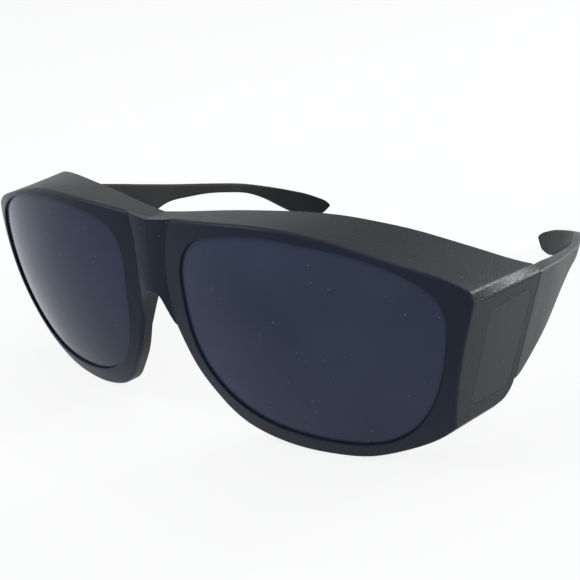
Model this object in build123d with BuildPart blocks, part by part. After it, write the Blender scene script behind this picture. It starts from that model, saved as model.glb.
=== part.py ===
"""Fitover sunglasses, in millimetres.

They are drawn as they are worn: x towards the wearer's left, y towards the back of
the head, z up, with the rims' lowest point at z 0. The stance then tips that drawing
back, so that the rims and the two temple tips stand on the ground. The half on the
wearer's left is drawn, and the other half is its mirror image.
"""
from build123d import *
from math import atan2, cos, hypot, radians, sin, tan
import os

os.makedirs("parts", exist_ok=True)

# Half of the front, seen from ahead
front_half_width = 71.4
crown_height = 56.15
side_flare_share = 0.12885
side_flare = front_half_width * side_flare_share
shelf_rise = 8.8
front_start_y = -6.0
seam_y = 40.5
seam_gap = 0.25
front_overlap = 5.5

# Rows: across, up, how much of the flare and how much of the rise they take
brow_shares = [
    (0.000, 0.966, 0.00, 0.45), (0.112, 0.978, 0.00, 0.59), (0.224, 0.989, 0.00, 0.69),
    (0.336, 0.998, 0.00, 0.75), (0.448, 1.000, 0.00, 0.80), (0.560, 0.987, 0.00, 0.91),
    (0.644, 0.966, 0.00, 1.00), (0.728, 0.939, 0.03, 0.94), (0.805, 0.915, 0.11, 0.68),
    (0.868, 0.897, 0.22, 0.36), (0.924, 0.879, 0.38, 0.11), (0.971, 0.852, 0.50, 0.00),
    (1.000, 0.825, 0.59, 0.00),
]
bevel_foot_share = (0.992, 0.767, 0.92, 0.22)
rim_shares = [
    (0.919, 0.223, 1.00, 0.06), (0.888, 0.173, 0.85, 0.00), (0.843, 0.120, 0.62, 0.00),
    (0.794, 0.077, 0.39, 0.00), (0.740, 0.038, 0.17, 0.00), (0.680, 0.008, 0.00, 0.00),
    (0.612, 0.001, 0.00, 0.00), (0.543, 0.000, 0.00, 0.00), (0.471, 0.003, 0.00, 0.00),
    (0.400, 0.019, 0.00, 0.00), (0.327, 0.047, 0.00, 0.00), (0.256, 0.101, 0.00, 0.00),
    (0.196, 0.192, 0.00, 0.00), (0.135, 0.311, 0.00, 0.00), (0.095, 0.435, 0.00, 0.00),
    (0.068, 0.533, 0.00, 0.00), (0.046, 0.607, 0.00, 0.00), (0.024, 0.649, 0.00, 0.00),
    (0.000, 0.656, 0.00, 0.00),
]

# The face over each eye is part of a ball
face_radius = 104.4
face_centre_x = 18.6
face_centre_y = 101.7
face_centre_z = 49.85
face_wall = 3.4
hood_wall = 2.2
face_rounding = 1.0
crease_rounding = 1.2
foot_rounding = 1.5
cheek_middle_share = 0.7

# Back edge of the shelf, seen from above, up to the seam with the temple
shelf_spread = 4.8
cheek_keep = 1.5
shelf_back_shares = [
    (0.000, 0.101), (0.105, 0.118), (0.211, 0.157), (0.367, 0.212), (0.479, 0.274),
    (0.570, 0.338), (0.650, 0.419), (0.723, 0.523), (0.795, 0.634), (0.866, 0.741),
    (0.928, 0.840), (0.972, 0.930), (1.000, 1.000),
]
cheek_corner_radius = 5.0

# Bridge: a round-fronted pad over the nose, fading out towards its foot
bridge_top_y = -3.0
bridge_foot_y = -1.5
bridge_top_half = 10.5
bridge_foot_half = 4.5
bridge_depth = 2.16
bridge_back_y = 4.0
bridge_foot_share = 0.435
bridge_top_share = 1.079

# Lens opening, and the lens that sits behind it in a groove
lens_inner_x = 9.35
lens_foot_z = 4.55
rim_side_width = 2.15
rim_top_width = 1.7
lens_shares = [
    (0.943, 0.836), (0.816, 0.922), (0.654, 0.972), (0.509, 0.992), (0.357, 1.000),
    (0.175, 0.972), (0.055, 0.918), (0.006, 0.822), (0.000, 0.683), (0.012, 0.515),
    (0.047, 0.341), (0.120, 0.194), (0.225, 0.086), (0.347, 0.028), (0.482, 0.004),
    (0.628, 0.002), (0.760, 0.036), (0.863, 0.124), (0.935, 0.255), (0.978, 0.407),
    (0.998, 0.565), (0.998, 0.713),
]
lens_thickness = 1.8
lens_set_back = 0.7
lens_grip = 1.0
lens_clearance = 0.1
opening_rounding = 0.3
opening_reach = 30.0

# Side window, let into the outside of the cheek
window_length = 16.9
window_lean = 1.2
window_back_margin = 2.4
window_top_margin = 2.9
window_top_fall = 1.2
window_foot_margin = 4.0
window_corner = 2.6
window_thickness = 1.3
window_lip = 1.4
window_clearance = 0.08

# Temple
temple_length = 104.6
temple_foot_step = 4.4
temple_hook = 30.2
temple_root_thickness = 2.9
temple_arm_thickness = 2.3
temple_taper_share = 0.45
temple_rounding = 0.7
temple_rounding_share = 0.45
temple_top_rise = 1.4

# Rows: along, low edge, top edge, how much of the hook
temple_shares = [
    (0.000, 0.000, 1.000, 0.000), (0.052, 0.020, 0.982, 0.005), (0.109, 0.110, 0.960, 0.014),
    (0.165, 0.195, 0.932, 0.028), (0.232, 0.303, 0.897, 0.056), (0.288, 0.428, 0.866, 0.082),
    (0.336, 0.516, 0.842, 0.105), (0.392, 0.583, 0.812, 0.132), (0.468, 0.598, 0.774, 0.173),
    (0.562, 0.597, 0.730, 0.242), (0.657, 0.560, 0.684, 0.323), (0.733, 0.508, 0.638, 0.391),
    (0.799, 0.408, 0.580, 0.477), (0.855, 0.272, 0.524, 0.573), (0.903, 0.150, 0.468, 0.689),
    (0.945, 0.095, 0.411, 0.798), (0.974, 0.106, 0.352, 0.887), (0.993, 0.172, 0.302, 0.949),
    (1.000, 0.215, 0.255, 0.974),
]

# Hinge: its own frame is outwards, back, and up along the pin
hinge_set_in = 4.8
hinge_rise = 14.0
hinge_stagger = 2.0
knuckle_radius = 1.5
knuckle_clearance = 0.12
barrel_half = 4.0
middle_knuckle_half = 1.35
leaf_out = 1.6
leaf_thickness = 0.9
front_leaf_length = 3.3
front_leaf_half = 7.0
temple_leaf_length = 8.0
pad_margin = 0.5
temple_pad_reach = 1.0
screw_radius = 0.7
screw_clearance = 0.05
screw_head_radius = 1.35
screw_head_height = 0.8
screw_slot_width = 0.4
screw_slot_depth = 0.3
rivet_radius = 0.6
rivet_clearance = 0.04
rivet_depth = 0.9
rivet_head_radius = 0.95
rivet_head_height = 0.35
front_rivet_back = -2.0
front_rivet_up = 5.9
temple_rivet_back = 5.4
temple_rivet_up = 2.3

# Stance on the ground
rim_stand_y = 12.1
land_cut = 0.2
middle_y = 75.489
overrun = 40.0
front_depth = seam_y - front_start_y + front_overlap


def row_point(row, share):
    """Where a row of the front's outline lies, seen from ahead, at a share of its depth."""
    across, height, flare, rise = row
    return (
        front_half_width * across + side_flare * flare * share,
        crown_height * height + shelf_rise * rise * share,
    )


# The cheek at the seam, which the temple and the hinge go by
seam_share = (seam_y - front_start_y) / front_depth
cheek_foot_x, cheek_foot_z = row_point(rim_shares[0], seam_share)
cheek_top_x, cheek_top_z = row_point(bevel_foot_share, seam_share)
cheek_lean = atan2(cheek_top_x - cheek_foot_x, cheek_top_z - cheek_foot_z)
temple_foot_z = cheek_foot_z + temple_foot_step
temple_root_height = cheek_top_z - temple_foot_z
hinge_z = temple_foot_z + hinge_rise


def cheek_x(z):
    """How far out the cheek and the temple's root are at a height."""
    return cheek_foot_x + (z - cheek_foot_z) * tan(cheek_lean)


# Rims and temple tips share the ground
tip_along, tip_low = min(temple_shares[len(temple_shares) // 2:], key=lambda row: row[1])[:2]
tip_stand_y = seam_y + temple_length * tip_along
tip_low_z = temple_foot_z + temple_root_height * tip_low
stance = atan2(tip_low_z, tip_stand_y - rim_stand_y)
lift = rim_stand_y * sin(stance) - land_cut
out = Vector(1, 0, 0)
back = Vector(0, cos(stance), -sin(stance))
up = Vector(0, sin(stance), cos(stance))


def worn(x, y, z):
    """A place on the worn glasses, as a point of the frame that stands on the ground."""
    return Vector(0, -middle_y, lift) + out * x + back * y + up * z


def from_ahead(y):
    return Plane(origin=worn(0, y, 0), x_dir=out, z_dir=back * -1)


def from_above(z):
    return Plane(origin=worn(0, 0, z), x_dir=out, z_dir=up)


def from_side(x):
    return Plane(origin=worn(x, 0, 0), x_dir=back, z_dir=out)


def moved_in(points, amount):
    """The corners of a closed outline, listed anticlockwise, moved in by an amount."""
    corners = [Vector(*point) for point in points]
    moved = []
    for before, here, after in zip(corners[-1:] + corners, corners, corners[1:] + corners[:1]):
        left = (here - before).normalized().rotate(Axis.Z, 90)
        onward_left = (after - here).normalized().rotate(Axis.Z, 90)
        inward = (left + onward_left).normalized()
        place = here + inward * (amount / inward.dot(onward_left))
        moved.append((place.X, place.Y))
    return moved


def row_place(row, share):
    across, height = row_point(row, share)
    return worn(across, front_start_y + front_depth * share, height)


def front_outline(share, inset):
    """Half outline of the front at a share of its depth, with its walls moved in."""
    rows = rim_shares[::-1] + [bevel_foot_share] + brow_shares[::-1]
    points = moved_in([row_point(row, share) for row in rows], inset)
    rim_end = len(rim_shares) - 1
    with BuildSketch(from_ahead(front_start_y + front_depth * share)) as outline:
        with BuildLine():
            Spline(*points[:rim_end + 1])
            Polyline(*points[rim_end:rim_end + 3])
            Spline(*points[rim_end + 2:])
            Line(points[-1], points[0])
        make_face()
    return outline.sketch


def front_block(inset):
    """The half front as one block, with its walls moved in by an amount."""
    with BuildPart() as block:
        add(front_outline(0, inset))
        add(front_outline(1, inset))
        loft(ruled=True)
    return block.part


def behind_face(amount):
    """What lies behind the face by an amount or more."""
    with BuildPart() as ball:
        with Locations(worn(face_centre_x, face_centre_y, face_centre_z)):
            Sphere(face_radius - amount)
    return ball.part


def behind_edge():
    """What lies behind the shelf's back edge and the seam, but for the cheek's wall."""
    seam_edge = seam_y - seam_gap / 2
    reach_x = front_half_width + shelf_spread
    edge = [(reach_x * across, seam_edge * along) for across, along in shelf_back_shares]
    with BuildPart() as space:
        with BuildSketch(from_above(-overrun)):
            with BuildLine():
                Line((-overrun, edge[0][1]), edge[0])
                Spline(*edge)
                Polyline(
                    edge[-1],
                    (edge[-1][0] + overrun, seam_edge),
                    (edge[-1][0] + overrun, seam_edge + overrun),
                    (-overrun, seam_edge + overrun),
                    (-overrun, edge[0][1]),
                )
            make_face()
        extrude(amount=crown_height + 2 * overrun)
        with BuildSketch(from_above(-overrun)):
            with Locations((front_half_width - cheek_keep, seam_edge)):
                Rectangle(overrun, overrun, align=(Align.MIN, Align.MAX))
        extrude(amount=overrun + cheek_top_z - hood_wall, mode=Mode.SUBTRACT)
    return space.part


def bridge_pad():
    """Half of the pad over the nose, within the front's outline."""
    ends = (
        (bridge_foot_share, bridge_foot_half, bridge_foot_y),
        (bridge_top_share, bridge_top_half, bridge_top_y),
    )
    with BuildPart() as pad:
        for height, half, front_y in ends:
            with BuildSketch(from_above(crown_height * height)):
                with BuildLine():
                    ThreePointArc(
                        (-half, front_y + bridge_depth),
                        (0, front_y),
                        (half, front_y + bridge_depth),
                    )
                    Polyline(
                        (half, front_y + bridge_depth), (half, bridge_back_y),
                        (-half, bridge_back_y), (-half, front_y + bridge_depth),
                    )
                make_face()
        loft(ruled=True)
        add(front_block(0), mode=Mode.INTERSECT)
    return pad.part


def lens_prism(spread):
    """The lens opening's outline, spread outwards, carried through the face."""
    lens_width = front_half_width - rim_side_width - lens_inner_x
    lens_height = crown_height - rim_top_width - lens_foot_z
    points = [(lens_inner_x + lens_width * along, lens_foot_z + lens_height * height)
              for along, height in lens_shares]
    with BuildPart() as prism:
        with BuildSketch(from_ahead(-opening_reach)):
            with BuildLine():
                Spline(*moved_in(points, -spread), periodic=True)
            make_face()
        extrude(amount=-2 * opening_reach)
    return prism.part


def window_prism(spread):
    """The side window's outline, spread outwards, carried through the cheek."""
    back_y = seam_y - window_back_margin
    front_y = back_y - window_length
    top_z = cheek_top_z - window_top_margin
    foot_z = cheek_foot_z + window_foot_margin
    with BuildPart() as prism:
        with BuildSketch(from_side(front_half_width - overrun)) as outline:
            with BuildLine():
                Polyline(
                    (front_y, top_z - window_top_fall),
                    (front_y + window_lean, foot_z),
                    (back_y, foot_z),
                    (back_y, top_z),
                    close=True,
                )
            make_face()
            fillet(outline.vertices(), radius=window_corner)
            if spread:
                offset(amount=spread)
        extrude(amount=2 * overrun)
    return prism.part


def cheek_corner():
    """What the rounded lower back corner of the cheek leaves away."""
    reach = 2 * cheek_corner_radius
    corner_y = seam_y - seam_gap / 2 - cheek_corner_radius
    with BuildPart() as waste:
        with BuildSketch(from_side(front_half_width - overrun)):
            with Locations((corner_y, cheek_foot_z + cheek_corner_radius)):
                Rectangle(reach, reach, align=(Align.MIN, Align.MAX))
                Circle(cheek_corner_radius, mode=Mode.SUBTRACT)
        extrude(amount=2 * overrun)
    return waste.part


def hinge_frame(lean):
    """The hinge's own frame: x outwards, y back, z up along the pin."""
    outwards = out * cos(lean) - up * sin(lean)
    pin = out * sin(lean) + up * cos(lean)
    origin = worn(cheek_x(hinge_z) - hinge_set_in, seam_y, hinge_z)
    return Plane(origin=origin, x_dir=outwards, z_dir=pin)


def hinge_block(frame, outs, backs, ups):
    """A block of the hinge's frame between two places each way."""
    with BuildPart() as block:
        with BuildSketch(frame.offset(ups[0])):
            with Locations((outs[0], backs[0])):
                Rectangle(outs[1] - outs[0], backs[1] - backs[0], align=(Align.MIN, Align.MIN))
        extrude(amount=ups[1] - ups[0])
    return block.part


def hinge_barrel(frame, radius, low, high):
    """A round length of the hinge's frame, about the pin."""
    with BuildPart() as barrel:
        with BuildSketch(frame.offset(low)):
            Circle(radius)
        extrude(amount=high - low)
    return barrel.part


def rivets(frame, back_place, up_place, spread):
    """The two rivets of a leaf, above and below, or with a spread their holes."""
    places = [
        Plane(
            origin=frame.from_local_coords(
                (leaf_out + rivet_depth + spread, back_place, side * up_place)),
            x_dir=frame.y_dir,
            z_dir=frame.x_dir * -1,
        )
        for side in (-1, 1)
    ]
    shank = rivet_depth + leaf_thickness + spread
    with BuildPart() as pair:
        with BuildSketch(*places):
            Circle(rivet_radius + spread)
        extrude(amount=shank)
        with BuildSketch(*[place.offset(shank) for place in places]):
            Circle(rivet_head_radius)
        extrude(amount=rivet_head_height)
    return pair.part


def leaf_plate(frame, backs, half):
    """A leaf's flat plate, cut back clear of the knuckles."""
    room = knuckle_radius + knuckle_clearance
    with BuildPart() as plate:
        add(hinge_block(frame, (leaf_out - leaf_thickness, leaf_out), backs, (-half, half)))
        add(hinge_barrel(frame, room, -half, half), mode=Mode.SUBTRACT)
    return plate.part


def knuckle(frame, low, high, towards):
    """A knuckle between two places along the pin, with its strap to the leaf."""
    room = knuckle_radius + knuckle_clearance
    strap = (0, room) if towards > 0 else (-room, 0)
    with BuildPart() as ring:
        add(hinge_barrel(frame, knuckle_radius, low, high))
        add(hinge_block(frame, (leaf_out - leaf_thickness, leaf_out), strap, (low, high)))
    return ring.part


def front_leaf(frame):
    """The leaf on the cheek: two knuckles, above and below the temple's one."""
    gap_half = middle_knuckle_half + knuckle_clearance
    with BuildPart() as leaf:
        add(leaf_plate(frame, (-front_leaf_length, -seam_gap / 2), front_leaf_half))
        add(knuckle(frame, gap_half, barrel_half, -1))
        add(knuckle(frame, -barrel_half, -gap_half, -1))
        add(hinge_barrel(frame, screw_radius + screw_clearance, -barrel_half, barrel_half),
            mode=Mode.SUBTRACT)
        add(rivets(frame, front_rivet_back, front_rivet_up, rivet_clearance), mode=Mode.SUBTRACT)
    return leaf.part


def temple_leaf(frame):
    """The leaf on the temple, with one knuckle."""
    with BuildPart() as leaf:
        add(leaf_plate(frame, (0, temple_leaf_length), barrel_half))
        add(knuckle(frame, -middle_knuckle_half, middle_knuckle_half, 1))
        add(hinge_barrel(frame, screw_radius + screw_clearance, -barrel_half, barrel_half),
            mode=Mode.SUBTRACT)
        add(rivets(frame, temple_rivet_back, temple_rivet_up, rivet_clearance), mode=Mode.SUBTRACT)
    return leaf.part


def hinge_screw(frame):
    """The screw that the temple turns on, with a slotted head."""
    slot_foot = barrel_half + screw_head_height - screw_slot_depth
    with BuildPart() as screw:
        add(hinge_barrel(frame, screw_radius, -barrel_half, barrel_half))
        add(hinge_barrel(frame, screw_head_radius, barrel_half, barrel_half + screw_head_height))
        with BuildSketch(frame.offset(slot_foot)):
            Rectangle(screw_slot_width, 2 * screw_head_radius)
        extrude(amount=screw_slot_depth, mode=Mode.SUBTRACT)
    return screw.part


def front_boss(frame):
    """What fills the room between the leaf and the cheek, short of the side window."""
    half = front_leaf_half + pad_margin
    with BuildPart() as boss:
        add(hinge_block(frame, (leaf_out, knuckle_radius + face_wall),
                        (-front_leaf_length - pad_margin, -seam_gap / 2), (-half, half)))
        add(front_block(window_thickness + 2 * window_clearance), mode=Mode.INTERSECT)
    return boss.part


def temple_section(place):
    """The temple cut across at a row of its table: a leaning, rounded four-sided shape."""
    along, low, top, inward = temple_shares[place]
    before = temple_shares[max(place - 1, 0)]
    after = temple_shares[min(place + 1, len(temple_shares) - 1)]
    slope = temple_hook * (after[3] - before[3]) / (temple_length * (after[0] - before[0]))
    taper = max(0, 1 - along / temple_taper_share)
    thickness = temple_arm_thickness + (temple_root_thickness - temple_arm_thickness) * taper
    width = thickness * hypot(1, slope)
    edges = []
    for height in (low, top):
        z = temple_foot_z + temple_root_height * height
        edges.append((cheek_x(z) - temple_hook * inward, z))
    (low_x, low_z), (top_x, top_z) = edges
    rise = temple_top_rise * taper
    rounding = min(temple_rounding, temple_rounding_share * (top_z - low_z))
    with BuildSketch(from_ahead(seam_y + seam_gap / 2 + temple_length * along)) as section:
        with BuildLine():
            Polyline(
                (low_x - width, low_z),
                (low_x, low_z),
                (top_x, top_z),
                (top_x - width, top_z + rise),
                close=True,
            )
        make_face()
        fillet(section.vertices(), radius=rounding)
    return section.sketch


def temple_shape(frame):
    """The left temple, with a seat for its leaf."""
    half = barrel_half + pad_margin
    leaf_end = temple_leaf_length + pad_margin
    with BuildPart() as temple:
        for place in range(len(temple_shares)):
            add(temple_section(place))
        loft()
        add(hinge_block(frame, (leaf_out, leaf_out + temple_pad_reach),
                        (seam_gap / 2, leaf_end), (-half, half)))
        add(hinge_block(frame, (leaf_out - overrun, leaf_out), (-seam_gap, leaf_end + pad_margin),
                        (-half - pad_margin, half + pad_margin)), mode=Mode.SUBTRACT)
        add(rivets(frame, temple_rivet_back, temple_rivet_up, rivet_clearance), mode=Mode.SUBTRACT)
        split(bisect_by=Plane.XY, keep=Keep.TOP)
    return temple.part


left_frame = hinge_frame(cheek_lean + radians(hinge_stagger))
right_frame = hinge_frame(cheek_lean - radians(hinge_stagger))
bevel_edges = (brow_shares[-1], bevel_foot_share)

# Front: rims, brow, bridge, shelf and cheeks in one piece
half_outside = front_block(0)
face = behind_face(0)
pad = bridge_pad()
wearer_room = (front_block(hood_wall) + behind_edge()) & behind_face(face_wall)
groove = (
    lens_prism(lens_grip + lens_clearance)
    & behind_face(lens_set_back - lens_clearance)
) - behind_face(lens_set_back + lens_thickness + lens_clearance)
rebate = window_prism(window_clearance) - front_block(window_thickness + window_clearance)
boss_left = front_boss(left_frame)
boss_right = front_boss(right_frame)
rivets_left = rivets(left_frame, front_rivet_back, front_rivet_up, rivet_clearance)
rivets_right = rivets(right_frame, front_rivet_back, front_rivet_up, rivet_clearance)

with BuildPart() as front_frame:
    add(half_outside)
    add(face, mode=Mode.INTERSECT)
    fillet([front_frame.edges().sort_by_distance(row_place(row, cheek_middle_share))[0]
            for row in bevel_edges], radius=crease_rounding)
    fillet(front_frame.edges().sort_by_distance(row_place(rim_shares[0], cheek_middle_share))[0],
           radius=foot_rounding)
    face_edges = front_frame.faces().filter_by(GeomType.SPHERE)[0].edges().sort_by(Axis.X)
    fillet(face_edges[1:], radius=face_rounding)
    add(pad)
    add(wearer_room, mode=Mode.SUBTRACT)
    add(lens_prism(0), mode=Mode.SUBTRACT)
    face_sides = front_frame.faces().filter_by(GeomType.SPHERE).sort_by(Axis.Y)
    opening_edge = face_sides[0].edges().sort_by(SortBy.LENGTH)[-1]
    fillet(opening_edge, radius=opening_rounding)
    add(groove, mode=Mode.SUBTRACT)
    add(rebate, mode=Mode.SUBTRACT)
    add(window_prism(-window_lip), mode=Mode.SUBTRACT)
    add(cheek_corner(), mode=Mode.SUBTRACT)
    mirror(about=Plane.YZ)
    add(boss_left)
    mirror(boss_right, about=Plane.YZ)
    add(rivets_left, mode=Mode.SUBTRACT)
    mirror(rivets_right, about=Plane.YZ, mode=Mode.SUBTRACT)
    split(bisect_by=Plane.XY, keep=Keep.TOP)
front_frame.part.label = "front_frame"
export_step(front_frame.part, "parts/front_frame.step")

# Lenses
lens_blank = lens_prism(lens_grip)
lens_front = behind_face(lens_set_back)
lens_back = behind_face(lens_set_back + lens_thickness)

with BuildPart() as lens_left:
    add(lens_blank)
    add(lens_front, mode=Mode.INTERSECT)
    add(lens_back, mode=Mode.SUBTRACT)
lens_left.part.label = "lens_left"
export_step(lens_left.part, "parts/lens_left.step")

with BuildPart() as lens_right:
    mirror(lens_left.part, about=Plane.YZ)
lens_right.part.label = "lens_right"
export_step(lens_right.part, "parts/lens_right.step")

# Side windows, flush with the cheeks
window_blank = window_prism(0)
window_bed = front_block(window_thickness)

with BuildPart() as side_window_left:
    add(half_outside)
    add(window_bed, mode=Mode.SUBTRACT)
    add(window_blank, mode=Mode.INTERSECT)
side_window_left.part.label = "side_window_left"
export_step(side_window_left.part, "parts/side_window_left.step")

with BuildPart() as side_window_right:
    mirror(side_window_left.part, about=Plane.YZ)
side_window_right.part.label = "side_window_right"
export_step(side_window_right.part, "parts/side_window_right.step")

# Temples
left_shape = temple_shape(left_frame)
right_shape = temple_shape(right_frame)

with BuildPart() as temple_left:
    add(left_shape)
temple_left.part.label = "temple_left"
export_step(temple_left.part, "parts/temple_left.step")

with BuildPart() as temple_right:
    mirror(right_shape, about=Plane.YZ)
temple_right.part.label = "temple_right"
export_step(temple_right.part, "parts/temple_right.step")

# Hinges
left_front_leaf = front_leaf(left_frame)
right_front_leaf = front_leaf(right_frame)
left_temple_leaf = temple_leaf(left_frame)
right_temple_leaf = temple_leaf(right_frame)
left_screw = hinge_screw(left_frame)
right_screw = hinge_screw(right_frame)
left_front_rivets = rivets(left_frame, front_rivet_back, front_rivet_up, 0)
right_front_rivets = rivets(right_frame, front_rivet_back, front_rivet_up, 0)
left_temple_rivets = rivets(left_frame, temple_rivet_back, temple_rivet_up, 0)
right_temple_rivets = rivets(right_frame, temple_rivet_back, temple_rivet_up, 0)

with BuildPart() as hinge_front_left:
    add(left_front_leaf)
hinge_front_left.part.label = "hinge_front_left"
export_step(hinge_front_left.part, "parts/hinge_front_left.step")

with BuildPart() as hinge_front_right:
    mirror(right_front_leaf, about=Plane.YZ)
hinge_front_right.part.label = "hinge_front_right"
export_step(hinge_front_right.part, "parts/hinge_front_right.step")

with BuildPart() as hinge_temple_left:
    add(left_temple_leaf)
hinge_temple_left.part.label = "hinge_temple_left"
export_step(hinge_temple_left.part, "parts/hinge_temple_left.step")

with BuildPart() as hinge_temple_right:
    mirror(right_temple_leaf, about=Plane.YZ)
hinge_temple_right.part.label = "hinge_temple_right"
export_step(hinge_temple_right.part, "parts/hinge_temple_right.step")

with BuildPart() as hinge_screw_left:
    add(left_screw)
hinge_screw_left.part.label = "hinge_screw_left"
export_step(hinge_screw_left.part, "parts/hinge_screw_left.step")

with BuildPart() as hinge_screw_right:
    mirror(right_screw, about=Plane.YZ)
hinge_screw_right.part.label = "hinge_screw_right"
export_step(hinge_screw_right.part, "parts/hinge_screw_right.step")

with BuildPart() as hinge_front_rivets_left:
    add(left_front_rivets)
hinge_front_rivets_left.part.label = "hinge_front_rivets_left"
export_step(hinge_front_rivets_left.part, "parts/hinge_front_rivets_left.step")

with BuildPart() as hinge_front_rivets_right:
    mirror(right_front_rivets, about=Plane.YZ)
hinge_front_rivets_right.part.label = "hinge_front_rivets_right"
export_step(hinge_front_rivets_right.part, "parts/hinge_front_rivets_right.step")

with BuildPart() as hinge_temple_rivets_left:
    add(left_temple_rivets)
hinge_temple_rivets_left.part.label = "hinge_temple_rivets_left"
export_step(hinge_temple_rivets_left.part, "parts/hinge_temple_rivets_left.step")

with BuildPart() as hinge_temple_rivets_right:
    mirror(right_temple_rivets, about=Plane.YZ)
hinge_temple_rivets_right.part.label = "hinge_temple_rivets_right"
export_step(hinge_temple_rivets_right.part, "parts/hinge_temple_rivets_right.step")
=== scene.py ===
# %% [markdown]
# # Fitover sunglasses
#
# These are large sunglasses that go on over ordinary glasses. A satin black moulding holds two
# tinted lenses and has a shelf over the brow and a deep cheek on each side, and the temples
# fold in behind it. The solids bring the shapes; this lesson dresses them, lights them and
# looks at them the way the photograph does.

# %% Load the frame
import bpy, bmesh
from mathutils import Matrix, Vector

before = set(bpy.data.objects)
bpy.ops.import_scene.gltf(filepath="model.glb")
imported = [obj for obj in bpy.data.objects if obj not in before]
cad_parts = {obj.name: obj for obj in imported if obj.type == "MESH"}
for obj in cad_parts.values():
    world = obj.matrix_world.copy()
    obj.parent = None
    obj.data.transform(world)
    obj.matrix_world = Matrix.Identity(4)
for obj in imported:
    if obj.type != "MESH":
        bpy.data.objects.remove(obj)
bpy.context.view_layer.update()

print("nodes", sorted(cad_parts))

# %% [markdown]
# ## Camera
#
# The photograph was taken from close by, a little above the glasses and to the wearer's left.
# A close camera makes the near cheek large and the far temple small, so its place and its
# focal length both matter. The axes are written out, because the photograph is turned a
# little as well, and the back of the camera looks along its own +Z.

# %% Place the camera
camera_data = bpy.data.cameras.new("camera")
camera_data.sensor_width = 36.0
camera_data.lens = 53.31
camera_data.clip_start = 0.01
camera = bpy.data.objects.new("camera", camera_data)
bpy.context.collection.objects.link(camera)

camera_place = Vector((0.13621, -0.199006, 0.124453))
away = Vector((0.5395, -0.719404, 0.437489)).normalized()
right = Vector((0.822, 0.562595, -0.088413))
right = (right - away * right.dot(away)).normalized()
above = away.cross(right)
camera.matrix_world = Matrix((
    (right.x, above.x, away.x, camera_place.x),
    (right.y, above.y, away.y, camera_place.y),
    (right.z, above.z, away.z, camera_place.z),
    (0, 0, 0, 1),
))
bpy.context.scene.camera = camera
bpy.context.scene.view_settings.view_transform = "Standard"
print("camera", tuple(round(value, 4) for value in camera_place))

# %% [markdown]
# ## Shader maths
#
# A finish is built from sums: grain plus wear, one mask less another. Written as nodes, each
# sum is a box and two wires. `Field` wraps a node's output so that the sums can be written as
# sums, and `Tree.node` adds every other kind of node, to a material's tree or to the room's.

# %% Fields, trees and finishes
class Field:
    """A number, colour, vector or shader that a node gives."""

    def __init__(self, tree, socket):
        self.tree, self.socket = tree, socket

    def math(self, operation, first, second):
        return self.tree.node("ShaderNodeMath", {"operation": operation}, {0: first, 1: second})

    def __add__(self, other):
        return self.math("ADD", self, other)

    def __radd__(self, other):
        return self.math("ADD", other, self)

    def __sub__(self, other):
        return self.math("SUBTRACT", self, other)

    def __rsub__(self, other):
        return self.math("SUBTRACT", other, self)

    def __mul__(self, other):
        return self.math("MULTIPLY", self, other)

    def __rmul__(self, other):
        return self.math("MULTIPLY", other, self)


class Tree:
    """The nodes of a material or a world."""

    def __init__(self, owner):
        owner.use_nodes = True
        self.nodes, self.links = owner.node_tree.nodes, owner.node_tree.links

    def node(self, kind, settings=None, inputs=None, output=0):
        made = self.nodes.new(kind)
        for setting, value in (settings or {}).items():
            setattr(made, setting, value)
        for socket_name, value in (inputs or {}).items():
            socket = made.inputs[socket_name]
            if isinstance(value, Field):
                self.links.new(value.socket, socket)
            else:
                socket.default_value = value
        return Field(self, made.outputs[output])

    def show(self, output_kind, shader):
        """Leads a shader to the tree's output, which is made where there is none."""
        found = [node for node in self.nodes if node.bl_idname == output_kind]
        output = found[0] if found else self.nodes.new(output_kind)
        self.links.new(shader.socket, output.inputs["Surface"])


class Finish(Tree):
    """A material: its shader's constant values, and the nodes that vary the rest."""

    def __init__(self, name, **constants):
        self.material = bpy.data.materials.new(name)
        super().__init__(self.material)
        self.shader = self.nodes["Principled BSDF"]
        for socket_name, value in constants.items():
            self.shader.inputs[socket_name.replace("_", " ")].default_value = value
        self.place = self.node("ShaderNodeTexCoord", output="Object")

    def vary(self, **fields):
        for socket_name, field in fields.items():
            self.links.new(field.socket, self.shader.inputs[socket_name.replace("_", " ")])

    def noise(self, size, detail=2.0, roughness=0.5):
        """Noise whose blobs are about a size in metres."""
        return self.node("ShaderNodeTexNoise", None, {
            "Vector": self.place, "Scale": 1.0 / size, "Detail": detail, "Roughness": roughness,
        }, output="Fac")

    def between(self, low, high, field):
        """A field spread over 0 to 1 from low to high, and held there."""
        return self.node("ShaderNodeMapRange", {"clamp": True}, {
            "Value": field, "From Min": low, "From Max": high,
        })

    def mix(self, factor, first, second):
        """A colour between two colours."""
        return self.node("ShaderNodeMix", {"data_type": "RGBA"}, {
            "Factor": factor, 6: first, 7: second,
        }, output=2)

    def bump(self, height, strength, depth):
        """A normal tilted by a height, whose full range is a depth in metres."""
        return self.node("ShaderNodeBump", None, {
            "Strength": strength, "Distance": depth, "Height": height,
        })


def grey(red, green, blue):
    """An opaque colour, nearly grey, from its linear parts."""
    return red, green, blue, 1.0


print("shader maths ready")

# %% [markdown]
# ## Moulded plastic
#
# The front and the temples are injection moulded and come out of a finely textured mould, so
# they are black with a soft sheen and a grain that only shows where light grazes it. The
# grain is a bump and a slight change of roughness, not a colour. The face around the lenses
# comes out of a smoother part of the mould, so it is glossier and more even than the shelf
# and the cheeks; its deeper, bluer colour is a painted reflection of a blue sky. Over each eye
# it is part of a ball, so it is found by its distance from the balls' centres, and it ends at
# the rounded edge behind it.

# %% Dust
speck_core_share = 0.7


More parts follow.
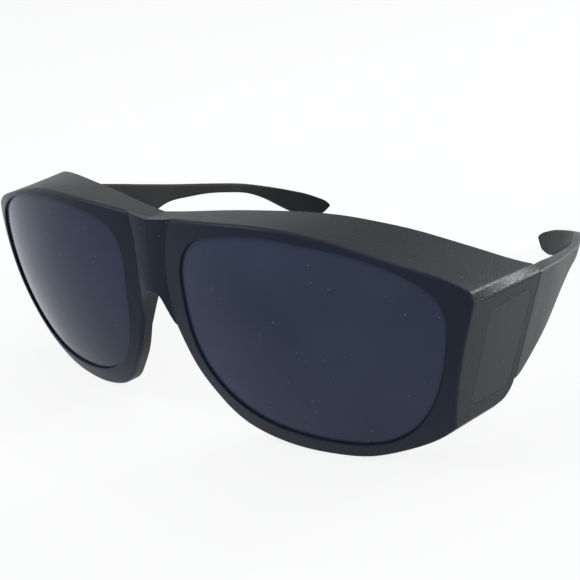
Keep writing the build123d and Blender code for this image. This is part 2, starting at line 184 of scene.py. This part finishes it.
def dust(finish, spacing, radius):
    """Sparse round specks: 1 on a speck, 0 elsewhere."""
    reach = finish.node("ShaderNodeTexVoronoi", None, {
        "Vector": finish.place, "Scale": 1.0 / spacing,
    }, output="Distance")
    edge = radius / spacing
    return 1 - finish.between(edge * speck_core_share, edge, reach)


# %% Face mask
face_centres = ((0.0186, 0.032717, 0.035136), (-0.0186, 0.032717, 0.035136))
face_radius = 0.1044
edge_start, edge_end = 0.0003, 0.0009


def on_face(finish):
    """1 on the face around the lenses and on the bridge, 0 behind their rounded edge."""
    left, right = [
        finish.node("ShaderNodeVectorMath", {"operation": "DISTANCE"}, {
            0: finish.place, 1: centre,
        }, output="Value") for centre in face_centres]
    nearer = left.math("MINIMUM", left, right)
    return finish.between(face_radius - edge_end, face_radius - edge_start, nearer)


# %% Satin black
satin_level = 0.17
grain_size, grain_depth, grain_strength = 0.00045, 0.00012, 0.8
patch_size = 0.012
plastic_dust = {"spacing": 0.0035, "radius": 0.00016}
plastic_dust_share = 0.6
plastic_dust_grey = grey(0.22, 0.22, 0.23)


def satin_black(name, colour, rubbed_colour, roughness, face_colour_with_painted_reflection=None):
    """Grained black plastic, rubbed in patches, with a smoother face and a painted bluish
    reflection on it if a face colour is given.
    """
    finish = Finish(name, Specular_IOR_Level=satin_level)
    grain = finish.noise(grain_size, detail=3.0, roughness=0.6)
    rubbed = finish.between(0.35, 0.75, finish.noise(patch_size, detail=3.0))
    shade = finish.mix(rubbed, colour, rubbed_colour)
    polish = roughness + 0.08 * rubbed + 0.16 * (grain - 0.5)
    height = grain
    if face_colour_with_painted_reflection is not None:
        ahead = on_face(finish)
        # The face's bluer colour is a painted reflection; its lower roughness and flatter grain
        # are real.
        shade = finish.mix(ahead, shade, face_colour_with_painted_reflection)
        polish = polish - 0.06 * ahead
        height = grain * (1 - 0.75 * ahead)
    specks = dust(finish, **plastic_dust) * plastic_dust_share
    finish.vary(
        Base_Color=finish.mix(specks, shade, plastic_dust_grey),
        Roughness=polish,
        Normal=finish.bump(height, grain_strength, grain_depth),
    )
    return finish.material


# The face colour given last is a painted reflection: it makes the face around the lenses bluer.
frame_black = satin_black(
    "frame_satin_black", grey(0.004, 0.006, 0.010), grey(0.009, 0.013, 0.017), 0.38,
    face_colour_with_painted_reflection=grey(0.006, 0.010, 0.023))
temple_black = satin_black(
    "temple_satin_black", grey(0.006, 0.008, 0.010), grey(0.011, 0.014, 0.015), 0.40)
print("satin blacks", frame_black.name, temple_black.name)

# %% [markdown]
# ## Tinted lenses
#
# The lenses let about a hundredth of the light through, and the side windows still less. Most
# of what shows is the tint itself, a dark blue-grey with a slow haze in it, under a polished
# face with a little dust. The windows are greyer and duller, nearly like the cheeks.

# %% Lens and window tints
haze_size = 0.03
tint_dust = {"spacing": 0.0026, "radius": 0.00014}
tint_dust_share = 0.7
tint_dust_grey = grey(0.26, 0.27, 0.30)


def tint(name, colour, haze_colour, alpha, roughness, level):
    """Tinted plastic, all but opaque, with haze and dust on it."""
    finish = Finish(name, Specular_IOR_Level=level, Alpha=alpha, IOR=1.5)
    haze = finish.between(0.3, 0.7, finish.noise(haze_size))
    specks = dust(finish, **tint_dust)
    shade = finish.mix(haze, colour, haze_colour)
    finish.vary(
        Base_Color=finish.mix(specks * tint_dust_share, shade, tint_dust_grey),
        Roughness=roughness + 0.04 * haze + 0.3 * specks,
    )
    return finish.material


lens_tint = tint(
    "lens_grey_tint", grey(0.022, 0.031, 0.053), grey(0.033, 0.044, 0.074),
    alpha=0.99, roughness=0.05, level=0.13)
window_tint = tint(
    "window_grey_tint", grey(0.006, 0.009, 0.012), grey(0.009, 0.012, 0.016),
    alpha=0.997, roughness=0.30, level=0.16)
print("tints", lens_tint.name, window_tint.name)

# %% [markdown]
# ## Hinge metal
#
# The hinge's leaves are pressed steel, and its screw and rivets are turned and polished.

# %% Steel
brush_size, brush_depth, brush_strength = 0.0004, 0.00003, 0.2
worn_steel = grey(0.42, 0.42, 0.43)


def steel(name, colour, roughness):
    """Steel with a fine, uneven brushing."""
    finish = Finish(name, Metallic=1.0)
    brushed = finish.noise(brush_size)
    finish.vary(
        Base_Color=finish.mix(brushed, colour, worn_steel),
        Roughness=roughness + 0.15 * brushed,
        Normal=finish.bump(brushed, brush_strength, brush_depth),
    )
    return finish.material


leaf_steel = steel("hinge_leaf_steel", grey(0.56, 0.56, 0.57), 0.32)
screw_steel = steel("hinge_screw_steel", grey(0.64, 0.64, 0.65), 0.20)
print("steels", leaf_steel.name, screw_steel.name)

# %% Give each node its finish
finish_by_start = {
    "front_frame": frame_black,
    "temple_": temple_black,
    "lens_": lens_tint,
    "side_window_": window_tint,
    "hinge_screw_": screw_steel,
    "hinge_front_rivets_": screw_steel,
    "hinge_temple_rivets_": screw_steel,
    "hinge_front_": leaf_steel,
    "hinge_temple_": leaf_steel,
}
for node_name, node_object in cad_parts.items():
    finish = next(made for start, made in finish_by_start.items() if node_name.startswith(start))
    for slot in node_object.material_slots:
        slot.material = finish
    print(node_name, "->", finish.name)

# %% [markdown]
# ## Floor and light
#
# The glasses stand on a pale floor in a plain, soft light. Light Path nodes make the room and
# the floor white to the camera and in shiny faces, and the floor still shows a faint shadow.
# Of the lamps, a low one behind the near cheek draws the bright edge between the shelf and
# the cheek, and a small one ahead draws the lip of the brow.

# %% Room
white = grey(1.0, 1.0, 1.0)


def seen_share(tree, from_camera=1.0, from_shine=1.0):
    """How much a white stand-in shows: a share for the camera, and one for shiny pieces."""
    share = from_camera * tree.node("ShaderNodeLightPath", output="Is Camera Ray")
    for kind in ("Is Glossy Ray", "Is Transmission Ray"):
        shine = from_shine * tree.node("ShaderNodeLightPath", output=kind)
        share = share.math("MAXIMUM", share, shine)
    return share


world = bpy.data.worlds.new("room")
bpy.context.scene.world = world
room = Tree(world)
room.nodes.clear()
room.show("ShaderNodeOutputWorld", room.node("ShaderNodeMixShader", None, {
    0: seen_share(room),
    1: room.node("ShaderNodeBackground", None, {"Color": grey(0.88, 0.92, 1.0), "Strength": 0.8}),
    2: room.node("ShaderNodeBackground", None, {"Color": white}),
}))

# %% Floor
floor_half = 1.5
floor_drop = 0.0002

floor_mesh = bpy.data.meshes.new("floor")
work = bmesh.new()
bmesh.ops.create_grid(work, x_segments=1, y_segments=1, size=floor_half)
work.to_mesh(floor_mesh)
work.free()
floor = bpy.data.objects.new("floor", floor_mesh)
floor.location.z = -floor_drop
bpy.context.collection.objects.link(floor)

floor_finish = Finish(
    "floor_white", Base_Color=grey(0.85, 0.85, 0.86), Roughness=0.6, Specular_IOR_Level=0.2)
floor_finish.show("ShaderNodeOutputMaterial", floor_finish.node("ShaderNodeMixShader", None, {
    0: seen_share(floor_finish, from_camera=0.85, from_shine=0.4),
    1: Field(floor_finish, floor_finish.shader.outputs[0]),
    2: floor_finish.node("ShaderNodeEmission", None, {"Color": white, "Strength": 1.0}),
}))
floor_mesh.materials.append(floor_finish.material)
print("floor and room ready")

# %% Lamps
def soft_box(name, place, aim, size, power, colour=(1.0, 1.0, 1.0)):
    """A square-cornered lamp at a place, turned towards another."""
    lamp = bpy.data.lights.new(name, "AREA")
    lamp.shape = "RECTANGLE"
    lamp.size, lamp.size_y = size
    lamp.energy = power
    lamp.color = colour
    made = bpy.data.objects.new(name, lamp)
    made.location = place
    made.rotation_euler = (Vector(aim) - Vector(place)).to_track_quat("-Z", "Y").to_euler()
    bpy.context.collection.objects.link(made)


soft_box("overhead", (0.05, 0.15, 0.75), (0.0, 0.0, 0.03), (0.6, 0.5), 1.0, (1.0, 0.97, 0.92))
soft_box("window", (-0.75, -0.35, 0.35), (0.0, -0.02, 0.03), (0.35, 0.45), 0.3, (0.93, 0.96, 1.0))
soft_box("behind", (0.42, 0.66, 0.17), (0.075, -0.03, 0.05), (0.10, 0.14), 4.0)
soft_box("brow", (-0.33, -0.31, 0.57), (0.03, -0.06, 0.05), (0.12, 0.12), 0.8)
